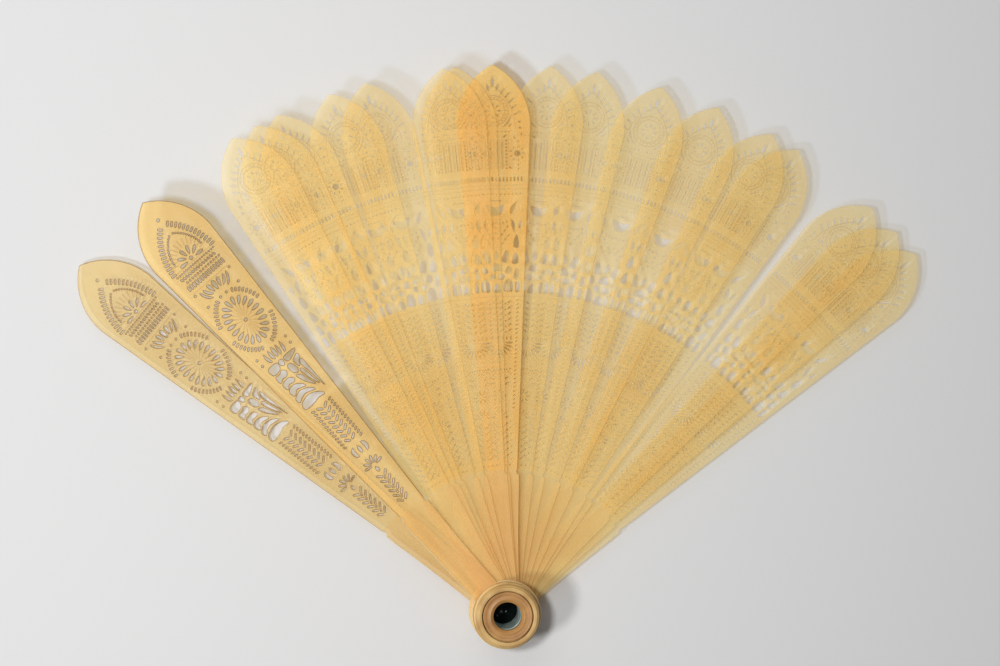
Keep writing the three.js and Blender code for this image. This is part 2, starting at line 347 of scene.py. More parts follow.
stick_horn = horn_plate(
    "pale_horn", 0.88, (1.0, 0.943, 0.838, 1.0),
    (1.0, 0.95, 0.53, 1.0), (1.0, 0.82, 0.35, 1.0), 0.28, stick_engraving,
)
guard_horn = horn_plate(
    "amber_horn", 0.74, (0.985, 0.865, 0.56, 1.0),
    (0.96, 0.77, 0.43, 1.0), (0.88, 0.65, 0.32, 1.0), 0.28, guard_engraving, GUARD_GORGE,
)
# The back guard's paler straw horn is partly its own colour and partly painted light, for its raised tip that
# lets the lit table show through.
back_horn_partly_painted_light = horn_plate(
    "straw_horn", 0.79, (0.99, 0.91, 0.73, 1.0),
    (0.97, 0.88, 0.56, 1.0), (0.85, 0.7, 0.38, 1.0), 0.28, guard_engraving, GUARD_GORGE,
)
# The stick's sawn finish is a little darker and more opaque, as painted shade along cut edges, and pale in
# the gorge as a painted highlight.
sawn_stick_painted_shade_and_highlight = horn_plate(
    "sawn_pale_horn_painted_shade_and_highlight", 0.7, (1.0, 0.94, 0.7, 1.0),
    (1.0, 0.84, 0.5, 1.0), (0.92, 0.7, 0.36, 1.0), 0.45, stick_engraving, GORGE_EDGE_PAINTED_HIGHLIGHT,
)
# The guards' sawn finishes are dark brown: painted shade for the cut walls, the openings and the edges.
sawn_guard_painted_shade = horn_plate(
    "sawn_amber_horn_painted_shade", 0.22, (0.9, 0.7, 0.4, 1.0),
    (0.42, 0.24, 0.09, 1.0), (0.31, 0.16, 0.05, 1.0), 0.45, guard_engraving,
)
sawn_back_painted_shade = horn_plate(
    "sawn_straw_horn_painted_shade", 0.4, (0.95, 0.8, 0.52, 1.0),
    (0.62, 0.42, 0.2, 1.0), (0.5, 0.31, 0.13, 1.0), 0.45, guard_engraving,
)
print("horn finishes:", len(bpy.data.materials) - 1)

# %% [markdown]
# ## The outline of a stick
#
# A stick is drawn flat, with +Y from the pivot to the tip. Half of it is a chain of simple
# runs: the round head, the slim gorge that swells a little, a small notch at the blade's foot,
# the straight flare of the blade, and one side of the gothic arch, which is an arc about a
# point past the middle. The other half is its mirror image. The numbers are the solid's own.

# %% Outline
TIP = 155.0
ARCH_BASE = 138.0
ARCH_HALF_WIDTH = 10.4
BLADE_FOOT = 41.0
BLADE_FOOT_HALF_WIDTH = 4.4
GORGE_HALF_WIDTH = 4.8
GORGE_SWELL = 36.0
NECK_HALF_WIDTH = 4.1
NECK = 10.5
HEAD_RADIUS = 9.8
NOTCH_DEPTH = 0.7
BORE_RADIUS = 6.23

ARCH_HEIGHT = TIP - ARCH_BASE
ARCH_OFFSET = (ARCH_HEIGHT ** 2 - ARCH_HALF_WIDTH ** 2) / (2 * ARCH_HALF_WIDTH)
ARCH_RADIUS = ARCH_HALF_WIDTH + ARCH_OFFSET


def arc(x, y, radius, start, end, count):
    """Points at equal angles on a circle about (x, y), from the start angle to the end one."""
    angle = np.linspace(start, end, count)
    return np.stack([x + radius * np.cos(angle), y + radius * np.sin(angle)], 1)


def blade_half_width(y):
    """Half the blade's width at a distance from the pivot: it grows evenly up to the arch."""
    share = (y - BLADE_FOOT) / (ARCH_BASE - BLADE_FOOT)
    return BLADE_FOOT_HALF_WIDTH + share * (ARCH_HALF_WIDTH - BLADE_FOOT_HALF_WIDTH)


def stick_outline():
    """The right edge from the foot of the head to the tip, then its mirror image back down."""
    neck_angle = np.arccos(NECK_HALF_WIDTH / HEAD_RADIUS)
    t = np.linspace(0, 1, 7)[:, None]
    low = np.array([NECK_HALF_WIDTH, NECK])
    bend = np.array([NECK_HALF_WIDTH, (NECK + GORGE_SWELL) / 2])
    high = np.array([GORGE_HALF_WIDTH, GORGE_SWELL])
    swell = (1 - t) ** 2 * low + 2 * t * (1 - t) * bend + t ** 2 * high
    notch = np.array([
        (GORGE_HALF_WIDTH, BLADE_FOOT - 2),
        (GORGE_HALF_WIDTH - 0.8 * NOTCH_DEPTH, BLADE_FOOT - 1.4),
        (GORGE_HALF_WIDTH - NOTCH_DEPTH, BLADE_FOOT - 1),
        (GORGE_HALF_WIDTH - 0.85 * NOTCH_DEPTH, BLADE_FOOT - 0.6),
        (BLADE_FOOT_HALF_WIDTH, BLADE_FOOT),
    ])
    top = np.arccos(ARCH_OFFSET / ARCH_RADIUS)
    right = np.concatenate([
        arc(0, 0, HEAD_RADIUS, -np.pi / 2, neck_angle, 34),
        swell,
        notch,
        arc(-ARCH_OFFSET, ARCH_BASE, ARCH_RADIUS, 0, top, 26),
    ])
    left = right[1:-1][::-1] * (-1, 1)
    return np.concatenate([right, left])


print("the outline has", len(stick_outline()), "points")

# %% [markdown]
# ## Openings
#
# Fretwork is a few kinds of small openings, repeated: slots, teardrops, bent leaves, crescents
# and round dots. Each function gives the points of one opening, anticlockwise, with its root
# at the origin and its length along +Y. `put` then sets copies of it down at many places at
# once, as one array, and `both` adds their mirror images on the other side of the stick.

# %% Kinds of openings
def slot(length, width, count=8):
    """Two half circles of the slot's width, pulled apart to its length."""
    angle = 2 * np.pi * (np.arange(count) + 0.5) / count
    rise = np.sin(angle)
    y = length / 2 + np.sign(rise) * (length - width) / 2 + rise * width / 2
    return np.stack([np.cos(angle) * width / 2, y], 1)


def dot(radius, count=7):
    """A circle about the origin."""
    return arc(0, 0, radius, 0, 2 * np.pi, count + 1)[:-1]


def drop(length, width, count=10):
    """A teardrop, sharp at its root: half the width times sin t sin(t/2), as 1 - cos t rises."""
    t = 2 * np.pi * np.arange(count) / count
    x = 1.3 * width / 2 * np.sin(t) * np.sin(t / 2)
    return np.stack([x, length * (1 - np.cos(t)) / 2], 1)


def leaf(length, width, bend=0.0, count=7):
    """Two sides of half a sine wave, point to point, on a spine that bends as the square."""
    s = np.linspace(0, 1, count)
    side = np.sin(np.pi * s ** 0.85) * width / 2
    spine = bend * s ** 2
    right = np.stack([spine + side, s * length], 1)
    left = np.stack([spine - side, s * length], 1)[1:-1][::-1]
    return np.concatenate([right, left])


def crescent(radius, width, start, end, count=8):
    """A bowed slit between two arcs about the origin, which meet at its ends."""
    s = np.linspace(0, 1, count)
    angle = np.radians(start + (end - start) * s)
    half = width / 2 * np.sin(np.pi * s) ** 0.5
    ray = np.stack([np.cos(angle), np.sin(angle)], 1)
    return np.concatenate([(radius + half)[:, None] * ray, ((radius - half)[:, None] * ray)[1:-1][::-1]])


def put(opening, x, y, turn=0.0):
    """Copies of an opening, each turned by `turn` degrees and moved to (x, y)."""
    x, y, turn = [a.reshape(-1, 1) for a in np.broadcast_arrays(x, y, np.radians(turn))]
    cos, sin = np.cos(turn), np.sin(turn)
    px, py = opening[:, 0], opening[:, 1]
    return np.stack([x + cos * px - sin * py, y + sin * px + cos * py], 2)


def both(openings):
    """The openings and their mirror images, still anticlockwise."""
    return np.concatenate([openings, (openings * (-1, 1))[:, ::-1]])


def petals(opening, y, radius, start, end, count, tall=1.0, x=0.0):
    """Openings that point outwards, with their roots on a circle or a taller oval about (x, y)."""
    angle = np.linspace(start, end, count, endpoint=end - start < 360)
    cos, sin = np.cos(np.radians(angle)), np.sin(np.radians(angle))
    outwards = np.degrees(np.arctan2(sin, tall * cos))
    return put(opening, x + radius * cos, y + tall * radius * sin, outwards - 90)


def rounded(corners, steps=4):
    """One opening with a free shape: the closed cubic curve that passes through its corners."""
    p = np.asarray(corners, float)
    before, after, beyond = np.roll(p, 1, 0), np.roll(p, -1, 0), np.roll(p, -2, 0)
    t = (np.arange(steps) / steps)[:, None, None]
    curve = 2 * p + (after - before) * t + (2 * before - 5 * p + 4 * after - beyond) * t ** 2
    curve = (curve + (3 * p - before - 3 * after + beyond) * t ** 3) / 2
    return curve.transpose(1, 0, 2).reshape(1, -1, 2)


def arch_row(opening, base, half_width, apex, count):
    """Openings that stand square on a pointed arch of their own, down both sides of it."""
    height = apex - base
    offset = (height ** 2 - half_width ** 2) / (2 * half_width)
    radius = half_width + offset
    top = np.arccos(offset / radius)
    angle = top * (1 - np.arange(count) / count)[1:]
    x = radius * np.cos(angle) - offset
    return both(put(opening, x, base + radius * np.sin(angle), np.degrees(angle) - 90))


def rows(low, high, pitch):
    """Heights from low to high, about a pitch apart."""
    return np.linspace(low, high, max(2, round((high - low) / pitch) + 1))


print("a slot has", len(slot(1.4, 0.5)), "points, a leaf", len(leaf(3, 1)))

# %% [markdown]
# ## Laying out the fretwork
#
# A fretworker draws the bold openings first and fits the small ones between them, and never
# leaves a bar so thin that it breaks. The layout below works the same way: openings are
# offered in order, and one that would come too near to an earlier one, or to the edge of the
# blade, is left out. Distances are taken between points along the edges, all at once.

# %% Layout
BAR = 0.32
EDGE_BAR = 0.9
REACH = 10


def along_edges(loop, step=0.25):
    """A closed loop with extra points, so that none are more than about a step apart."""
    following = np.roll(loop, -1, 0)
    pieces = np.maximum(1, np.ceil(np.linalg.norm(following - loop, axis=1) / step).astype(int))
    start = np.repeat(np.arange(len(loop)), pieces)
    first = np.repeat(np.cumsum(pieces) - pieces, pieces)
    share = (np.arange(len(start)) - first) / pieces[start]
    return loop[start] + share[:, None] * (following - loop)[start]


def inside(point, loop):
    """True where a ray from the point crosses the loop an odd number of times."""
    following = np.roll(loop, -1, 0)
    spans = (loop[:, 1] > point[1]) != (following[:, 1] > point[1])
    run = following[:, 1] - loop[:, 1]
    run = np.where(run == 0, 1, run)
    cross = loop[:, 0] + (point[1] - loop[:, 1]) * (following[:, 0] - loop[:, 0]) / run
    return np.count_nonzero(spans & (point[0] < cross)) % 2 == 1


def lay_out(outline, offered):
    """Keeps each offered opening that leaves a sound bar to the edge and to those kept."""
    edge = along_edges(outline)
    kept, taken = [], np.empty((0, 2))
    for opening in (one for group in offered for one in group):
        points = along_edges(opening)
        middle = points.mean(0)
        if not inside(middle, outline):
            continue
        if np.hypot(*(edge[:, None] - points[None]).T).min() < EDGE_BAR:
            continue
        near = taken[np.hypot(*(taken - middle).T) < REACH]
        if len(near) and np.hypot(*(near[:, None] - points[None]).T).min() < BAR:
            continue
        if any(inside(middle, other) or inside(other.mean(0), opening) for other in kept):
            continue
        kept.append(opening)
        taken = np.concatenate([taken, points])
    return kept


print("bars between openings are at least", BAR, "mm wide")

# %% [markdown]
# ## The sticks' ornament
#
# From the tip down: three leaves, a row of slots along the arch, a ringed medallion on a bowed
# slit, a striped panel between two round holes, a row of dashes, a windowed panel, a band that
# is mostly cut away, half a rosette that faces the pivot, and chevrons down to the plain gorge.

# %% Fretwork of a stick
def stick_tip():
    """Arch, medallion, stripes and dashes, from the tip to the windowed panel."""
    stripes = np.array([1.0, 2.3])
    return [
        put(leaf(3.4, 1.1), 0, 148.6),
        both(put(leaf(2.6, 0.75), 1.0, 147.5, -16)),
        both(put(slot(2.0, 0.52), np.array([2.3, 3.5, 4.5, 5.3, 6.0]),
                 np.array([146.6, 145.6, 144.2, 142.6, 140.8]), np.array([-30, -40, -48, -56, -62]))),
        both(put(dot(0.36), np.array([7.3, 7.6, 7.9]), np.array([138.8, 137.1, 135.4]))),
        petals(drop(1.3, 0.5), 142, 1.0, 0, 360, 8),
        petals(dot(0.2), 142, 3.8, 0, 360, 22),
        both(put(crescent(5.3, 0.5, -62, -12, 7), 0, 142)),
        both(put(dot(0.25), np.array([1.2, 2.3, 3.4, 4.5]), 136.1)),
        put(dot(0.92, 9), np.array([-6.6, 6.6]), 129.9),
        *[petals(drop(0.8, 0.42), 129.9, 1.4, 0, 360, 9, 1.0, x) for x in (-6.6, 6.6)],
        both(put(slot(7.6, 0.28), stripes, 125.6)),
        both(put(leaf(1.6, 0.55, 0.3), np.array([2.6, 4.4]), np.array([134.3, 137.2]), np.array([-40, -25]))),
        both(put(dot(0.24), 3.6, rows(125.8, 133.6, 0.95))),
        both(put(dot(0.26), 6.9, np.array([125.6, 126.7, 133.3]))),
        both(put(slot(0.9, 0.4), np.array([4.9, 6.2]), np.array([125.6, 134.0]), 40)),
        put(slot(1.4, 0.6), np.linspace(-7.7, 7.7, 16), 122.0),
        put(dot(0.24), np.linspace(-7.2, 7.2, 14), 118.5),
        put(slot(3.4, 0.3), 1.7, 116.7, 90),
    ]


def stick_window():
    """The windowed panel and the open band under it, most of which is cut away."""
    chevron = np.array([0.55, 1.4, 2.25, 3.1])
    return [
        rounded([
            (-2.3, 115.4), (-2.0, 113.7), (-1.0, 112.6), (1.0, 112.6), (2.0, 113.7), (2.3, 115.4), (0, 114.8),
        ]),
        both(put(leaf(2.0, 0.7, 0.3), 2.7, 114.8, -35)),
        both(put(leaf(4.4, 1.25, 1.2), 4.3, 112.6, -12)),
        both(put(leaf(4.2, 1.1, 0.8), 4.4, 111.6, -158)),
        both(put(leaf(2.6, 0.8, 0.3), 6.7, 108.6, -4)),
        both(put(slot(0.85, 0.46), chevron, 105.0 + 1.3 * chevron, -38)),
        both(put(slot(0.85, 0.36), chevron[:3] + 1.0, 103.6 + 1.3 * chevron[:3], -38)),
        put(dot(0.3), 0, np.array([110.4, 108.9, 107.6])),
        both(put(dot(0.28), np.array([1.0, 2.1, 3.2]), np.array([110.2, 110.4, 110.7]))),
        both(rounded([(4.9, 103.8), (6.2, 103.2), (6.6, 105.2), (6.0, 107.0), (5.2, 106.0)])),
        put(leaf(2.9, 1.3), 0, 99.9),
        both(rounded([(1.5, 99.6), (2.9, 99.2), (3.7, 101.2), (3.2, 102.7), (2.1, 101.8)])),
        both(rounded([(4.3, 99.0), (5.9, 98.8), (6.2, 100.6), (5.6, 101.9), (4.8, 101.0)])),
        rounded([(-1.5, 97.0), (1.5, 97.0), (0.9, 98.6), (0, 99.1), (-0.9, 98.6)]),
        both(rounded([(2.4, 96.5), (3.7, 96.1), (4.4, 97.4), (3.3, 98.3)])),
        both(rounded([(0.5, 94.4), (1.9, 94.6), (2.2, 95.7), (0.55, 96.0)])),
        both(rounded([(4.8, 94.8), (6.0, 94.6), (6.3, 96.9), (5.4, 97.4)])),
        both(rounded([(1.9, 91.2), (4.1, 90.9), (4.5, 92.4), (4.2, 94.1), (3.0, 94.5), (2.0, 93.2)])),
        rounded([(-1.2, 90.8), (1.2, 90.8), (1.2, 92.3), (0, 93.4), (-1.2, 92.3)]),
        both(rounded([(5.1, 90.9), (6.1, 91.0), (6.3, 93.4), (5.2, 93.6)])),
    ]


def stick_foot():
    """Small leaves, half a rosette over beaded scallops, and chevrons down to the gorge."""
    leaves = rows(79.6, 87.6, 1.6)
    chevrons = rows(43.6, 54.4, 1.75)
    border = rows(58.0, 88.4, 1.15)
    return [
        both(put(leaf(1.4, 0.55, 0.2), 0.5, leaves, -42)),
        both(put(dot(0.24), 2.2, leaves)),
        both(put(leaf(1.3, 0.5, 0.2), 2.9, leaves + 0.2, -50)),
        both(put(slot(0.85, 0.32), blade_half_width(border) - 1.95, border, -62)),
        put(slot(1.0, 0.36), np.linspace(-3.6, 3.6, 7), 77.4),
        petals(drop(2.5, 0.62), 76.6, 1.7, -180, 0, 11),
        *[petals(dot(0.2), 69.4, 1.55, -165, -15, 6, 1.0, x) for x in (-3.7, 0, 3.7)],
        *[petals(drop(0.75, 0.4), 69.6, 0.3, -145, -35, 3, 1.0, x) for x in (-3.7, 0, 3.7)],
        petals(drop(1.3, 0.5), 61.6, 0.65, 0, 360, 8),
        both(put(leaf(1.5, 0.55, 0.3), 1.5, rows(59.8, 66.2, 1.6), -45)),
        petals(drop(1.4, 0.5), 55.6, 0.9, 0, 180, 6),
        both(put(slot(2.2, 0.42), 0.5, chevrons, -50)),
        both(put(dot(0.18), 2.9, chevrons)),
        put(dot(0.24), np.linspace(-2.4, 2.4, 5), 42.0),
    ]


def stick_fretwork():
    """The openings of a plain stick, in the order in which they are drawn."""
    return [*stick_tip(), *stick_window(), *stick_foot()]


outline = stick_outline()
stick_openings = lay_out(outline, stick_fretwork())
print("a stick has", len(stick_openings), "openings of", sum(map(len, stick_fretwork())), "offered")

# %% [markdown]
# ## The guards' ornament
#
# The two guards are stouter and have a bolder design: a row of slots under a plain arch, half a
# rosette on a latticed line, a row of dashes over a shell, a great oval rosette of twenty petals,
# a bud, a frame with a branch of foliage, and herringbone down to the gorge with a small open
# fan in it. The branch is what is left between thirteen free shapes, each drawn by its corners.

# %% Fretwork of a guard
FOLIAGE = [
    [(-4.6, 96.5), (-1.7, 96.5), (-1.8, 94.9), (-2.9, 94.2), (-4.6, 94.4)],
    [(-1.0, 96.4), (0.1, 96.4), (0.2, 95.3), (-0.4, 94.7), (-1.0, 95.3)],
    [(1.1, 96.5), (4.6, 96.5), (4.5, 95.8), (3.0, 95.2), (1.6, 94.8), (1.0, 95.3)],
    [(-4.5, 93.4), (-3.1, 93.4), (-1.8, 93.9), (-1.1, 92.9), (-1.9, 91.9), (-3.3, 92.0), (-4.5, 91.4)],
    [(-4.4, 90.5), (-3.2, 91.1), (-1.6, 91.0), (-0.7, 89.9), (-1.6, 89.4), (-3.0, 89.6), (-4.1, 88.7)],
    [(-4.3, 87.7), (-3.3, 88.6), (-1.5, 88.5), (0.0, 87.3),
     (0.3, 86.4), (-1.1, 86.9), (-2.4, 87.1), (-3.8, 86.1)],
    [(-4.2, 85.2), (-2.3, 86.2), (-0.8, 86.0), (0.8, 85.2), (1.8, 83.9),
     (0.6, 84.3), (-1.0, 84.8), (-2.6, 84.5), (-4.0, 83.8)],
    [(-4.0, 81.2), (-3.9, 82.9), (-2.4, 83.6), (-0.7, 83.8), (1.0, 83.3),
     (2.4, 82.3), (2.9, 81.2), (0.9, 81.5), (-1.2, 81.1)],
    [(0.3, 90.2), (1.5, 89.4), (2.3, 86.8), (2.9, 85.0), (1.9, 86.2), (0.9, 88.0)],
    [(0.1, 93.6), (1.0, 94.0), (1.7, 93.1), (1.9, 91.6), (1.2, 90.7), (0.2, 91.6)],
    [(2.4, 93.9), (3.3, 94.4), (4.5, 94.8), (4.4, 93.8), (3.5, 92.9), (2.8, 91.7), (2.5, 92.6)],
    [(2.1, 90.4), (2.8, 90.8), (3.2, 89.0), (3.5, 86.8), (3.9, 84.4), (3.2, 85.8), (2.5, 88.2)],
    [(3.5, 92.0), (4.5, 93.0), (4.6, 90.5), (4.6, 87.5), (4.6, 83.0), (4.3, 85.6), (3.9, 88.5)],
]


def guard_tip():
    """Arch, half a rosette, lattice and shell, from the tip to the great rosette."""
    across = np.linspace(-5.8, 5.8, 13)
    return [
        put(dot(0.42), 0, 148.4),
        arch_row(slot(1.5, 0.5), 132.6, 6.3, 146.2, 14),
        petals(drop(2.5, 0.72), 134.2, 1.5, 0, 180, 11),
        put(dot(0.5), 0, 134.5),
        arch_row(dot(0.22), 135.2, 4.9, 143.4, 13),
        put(dot(0.25, 4), np.linspace(-6.6, 6.6, 17), 132.7),
        put(slot(0.9, 0.36), across, 130.9, 35),
        put(dot(0.22), across + 0.5, 130.0),
        put(slot(1.5, 0.46), np.linspace(-6.2, 6.2, 14), 127.5),
        put(drop(3.0, 1.1), 0, 122.9),
        both(put(drop(2.8, 0.75), 1.15, 123.1, -14)),
        both(put(crescent(3.6, 0.55, -60, -8, 7), 0, 126.0)),
        both(put(crescent(4.8, 0.5, -56, -6, 8), 0, 126.0)),
        both(put(dot(0.3), np.array([1.1, 6.3, 5.6]), np.array([120.8, 125.6, 120.9]))),
    ]


def guard_rosette():
    """The great oval rosette in its frame of dashes, and the bud under it."""
    return [
        put(dot(0.45, 9), 0, 111.4),
        petals(drop(2.6, 0.84), 111.4, 3.1, 9, 369, 20, 1.62),
        both(petals(slot(1.1, 0.4), 111.4, 6.7, 18, 76, 9, 1.34)),
        both(petals(slot(1.1, 0.4), 111.4, 6.6, -76, -18, 9, 1.34)),
        put(leaf(3.3, 0.9), 0, 97.7),
        both(put(leaf(3.0, 0.7, -0.9), 1.0, 97.6, -22)),
        both(put(leaf(3.2, 0.7, -1.2), 2.3, 97.4, -30)),
        both(put(dot(0.3), np.array([5.2, 5.3, 2.6]), np.array([98.4, 100.6, 101.9]))),
    ]


def guard_foot():
    """Herringbone between rows of slots, brackets, an open fan, and chevrons to the gorge."""
    herring = rows(66.4, 78.2, 1.65)
    low_herring = rows(43.8, 52.6, 1.8)
    side = rows(65.6, 79.0, 1.1)
    return [
        both(put(slot(1.7, 0.5), 0.36, herring, -52)),
        both(put(slot(0.95, 0.36), 2.6, side, -60)),
        both(put(crescent(2.1, 1.0, -48, 48, 7), 0, 62.8)),
        put(leaf(2.6, 0.8), 0, 61.6),
        petals(drop(2.2, 0.56), 56.6, 0.9, 12, 168, 6),
        put(drop(1.6, 0.8), 0, 56.2, 180),
        both(put(slot(1.8, 0.5), 0.38, low_herring, -46)),
        put(dot(0.25), 0, low_herring[:-1] + 1.2),
    ]


def guard_fretwork():
    """The openings of a guard, in the order in which they are drawn."""
    foliage = [rounded(corners[::-1]) for corners in FOLIAGE]
    return [*guard_tip(), *guard_rosette(), *foliage, *guard_foot()]


guard_openings = lay_out(outline, guard_fretwork())
print("a guard has", len(guard_openings), "openings of", sum(map(len, guard_fretwork())), "offered")

# %% [markdown]
# ## From loops to a plate
#
# A plate is two flat faces with many holes, joined by thin walls, with every sharp edge eased
# by a small bevel. Easing is done before the faces are filled: each loop is copied a little
# way into the horn, the flat faces stop at the copy, and a slanted strip joins the two. The
# filling is a triangulation that keeps every edge of the loops, and its triangles inside the
# openings are dropped. One flat pattern serves all sticks: it is lifted to its height in the
# stack and turned to its place in the spread.

# %% Plate
def inset(loop, distance):
    """Each point moved square to its neighbours' chord, towards the left of the direction."""
    chord = np.roll(loop, -1, 0) - np.roll(loop, 1, 0)
    square = np.stack([-chord[:, 1], chord[:, 0]], 1)
    return loop + distance * square / np.linalg.norm(square, axis=1, keepdims=True)


def fill(loops):
    """Triangles of the face between the first loop and the others, anticlockwise."""
    sizes = [len(loop) for loop in loops]
    starts = np.cumsum([0] + sizes[:-1])
    faces = [list(range(start, start + size)) for start, size in zip(starts, sizes)]
    faces = faces[:1] + [face[::-1] for face in faces[1:]]
    points = [Vector(p) for p in np.concatenate(loops).tolist()]
    found, _, triangles, _, _, parents = delaunay_2d_cdt(points, [], faces, 1, 1e-7)
    if len(found) != len(points):
        raise ValueError("two loops of a plate cross or touch")
    corners = np.array([t for t, owners in zip(triangles, parents) if owners == [0]])
    flat = np.array([tuple(p) for p in found])
    a, b, c = (flat[corners[:, k]] for k in range(3))
    turn = (b[:, 0] - a[:, 0]) * (c[:, 1] - a[:, 1]) - (b[:, 1] - a[:, 1]) * (c[:, 0] - a[:, 0])
    corners[turn < 0] = corners[turn < 0][:, ::-1]
    return corners


def plate_pattern(openings, thickness, easing, chamfer):
    """Points, triangles and strips of a plate: edges are cut back by easing, down to chamfer."""
    bore = arc(0, 0, BORE_RADIUS, 0, 2 * np.pi, 49)[:-1]
    sawn = [outline] + [loop[::-1] for loop in [bore, *openings]]
    eased = [inset(loop, easing) for loop in sawn]
    corners = fill(eased)
    edge, face = np.concatenate(sawn), np.concatenate(eased)
    count = len(edge)
    levels = [(face, thickness), (edge, thickness - chamfer), (edge, chamfer), (face, 0.0)]
    points = np.concatenate([np.c_[flat, np.full(count, z)] for flat, z in levels])
    here = np.arange(count)
    ends = np.cumsum([len(loop) for loop in sawn])
    there = here + 1
    there[ends - 1] = np.concatenate([[0], ends[:-1]])
    strips = [np.stack([here, here + count, there + count, there], 1) + k * count for k in range(3)]
    return points, np.concatenate([corners, corners[:, ::-1] + 3 * count]), np.concatenate(strips)


STICK_THICKNESS = 0.45
STICK_EASING = 0.07
GUARD_THICKNESS = 0.9
GUARD_EASING = 0.15
GUARD_CHAMFER = 0.3

stick_pattern = plate_pattern(stick_openings, STICK_THICKNESS, STICK_EASING, STICK_EASING)
guard_pattern = plate_pattern(guard_openings, GUARD_THICKNESS, GUARD_EASING, GUARD_CHAMFER)
print("a stick has", len(stick_pattern[1]) + 2 * len(stick_pattern[2]), "triangles")

# %% [markdown]
# The mesh is filled with `foreach_set`, as whole arrays. Flat faces take the polished horn and
# the strips take the sawn horn, which shuts out more light. Its darker colour is painted shade
# for the walls of the openings and the cut edges, where shade falls. In a stick's gorge its sawn
# edges are painted pale instead, as a painted highlight where the edges catch the light. The
# painted shade is darkest on the front guard, whose cut edges are twice as deep and whose horn
# is amber.

# %% Plate into a mesh
def plate_mesh(name, pattern, bottom, angle, finishes):
    """A mesh from a flat pattern, turned from +Y to an angle from +X and lifted to its place."""
    points, corners, strips = pattern
    turn = np.radians(angle - 90)
    cos, sin = np.cos(turn), np.sin(turn)
    x, y, z = points.T
    placed = np.stack([cos * x - sin * y, sin * x + cos * y, z + bottom], 1) * MM
    loops = np.concatenate([corners.ravel(), strips.ravel()]).astype(np.int32)
    sizes = np.concatenate([np.full(len(corners), 3), np.full(len(strips), 4)])
    mesh = bpy.data.meshes.new(name)
    mesh.vertices.add(len(placed))
    mesh.vertices.foreach_set("co", placed.astype(np.float32).ravel())
    mesh.loops.add(len(loops))
    mesh.loops.foreach_set("vertex_index", loops)
    mesh.polygons.add(len(sizes))
    mesh.polygons.foreach_set("loop_start", (np.cumsum(sizes) - sizes).astype(np.int32))
    mesh.update(calc_edges=True)
    along = mesh.uv_layers.new(name="along")
    along.data.foreach_set("uv", (points[loops, :2] * MM).astype(np.float32).ravel())
    for finish in finishes:
        mesh.materials.append(finish)
    # Strips take the second finish, the sawn one, whose darker colour is painted shade along cut edges and
    # openings.
    sawn = (np.arange(len(sizes)) >= len(corners)).astype(np.int32)
    mesh.polygons.foreach_set("material_index", sawn)
    mesh.shade_flat()
    mesh.validate()
    return mesh


def add_piece(name, mesh, node, body):
    """An object that takes a solid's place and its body."""
    piece = bpy.data.objects.new(name, mesh)
    bpy.context.scene.collection.objects.link(piece)
    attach(piece, body)
    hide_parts(node)


print("placing uses", len(stick_pattern[0]), "points a stick")

# %% [markdown]
# ## Threading the plates
#
# The ribbon that spaced the sticks is lost, so they lie unevenly. The list holds the angle of
# each centre line from +X, from the bottom of the stack to its top. Each stick's height is
# read from the solid that it replaces. The back guard's horn is paler than the front guard's:
# partly its own straw colour, and partly painted light for its tip, which on the real fan lies
# raised over the lit table and lets it show through.

# %% Sticks and guards
SPREAD = {
    "back_guard": 140.7, "stick_01": 40.6, "stick_02": 43.8, "stick_03": 47.5, "stick_04": 57.5,
    "stick_05": 60.7, "stick_06": 67.1, "stick_07": 73.4, "stick_08": 80.4, "stick_09": 85.3,
    "stick_10": 91.4, "stick_11": 91.5, "stick_12": 91.6, "stick_13": 95.5, "stick_14": 96.7,
    "stick_15": 105.0, "stick_16": 108.8, "stick_17": 114.7, "stick_18": 117.2, "stick_19": 119.9,
    "front_guard": 131.3,
}

FINISHES = {"front_guard": (guard_horn, sawn_guard_painted_shade), "back_guard": (back_horn_partly_painted_light, sawn_back_painted_shade)}

for node, angle in SPREAD.items():
    guard = node.endswith("guard")
    pattern = guard_pattern if guard else stick_pattern
    finishes = FINISHES.get(node, (stick_horn, sawn_stick_painted_shade_and_highlight))
    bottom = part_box(node)[0].z / MM
    mesh = plate_mesh("pierced_" + node, pattern, bottom, angle, finishes)
    add_piece("pierced_" + node, mesh, node, "pivot" if node == "front_guard" else node)
print("plates:", len(SPREAD))

# %% [markdown]
# ## Turned pieces
#
# The pivot was made on a lathe, so each of its pieces is a profile of radius and height carried
# round the axis. Straight runs stay crisp, and rounds are arcs worked out as points. A profile
# is closed, or starts and ends on the axis where it gets one shared pole point.

# %% Surface of revolution
SIDES = 96
SHARP = np.radians(32)


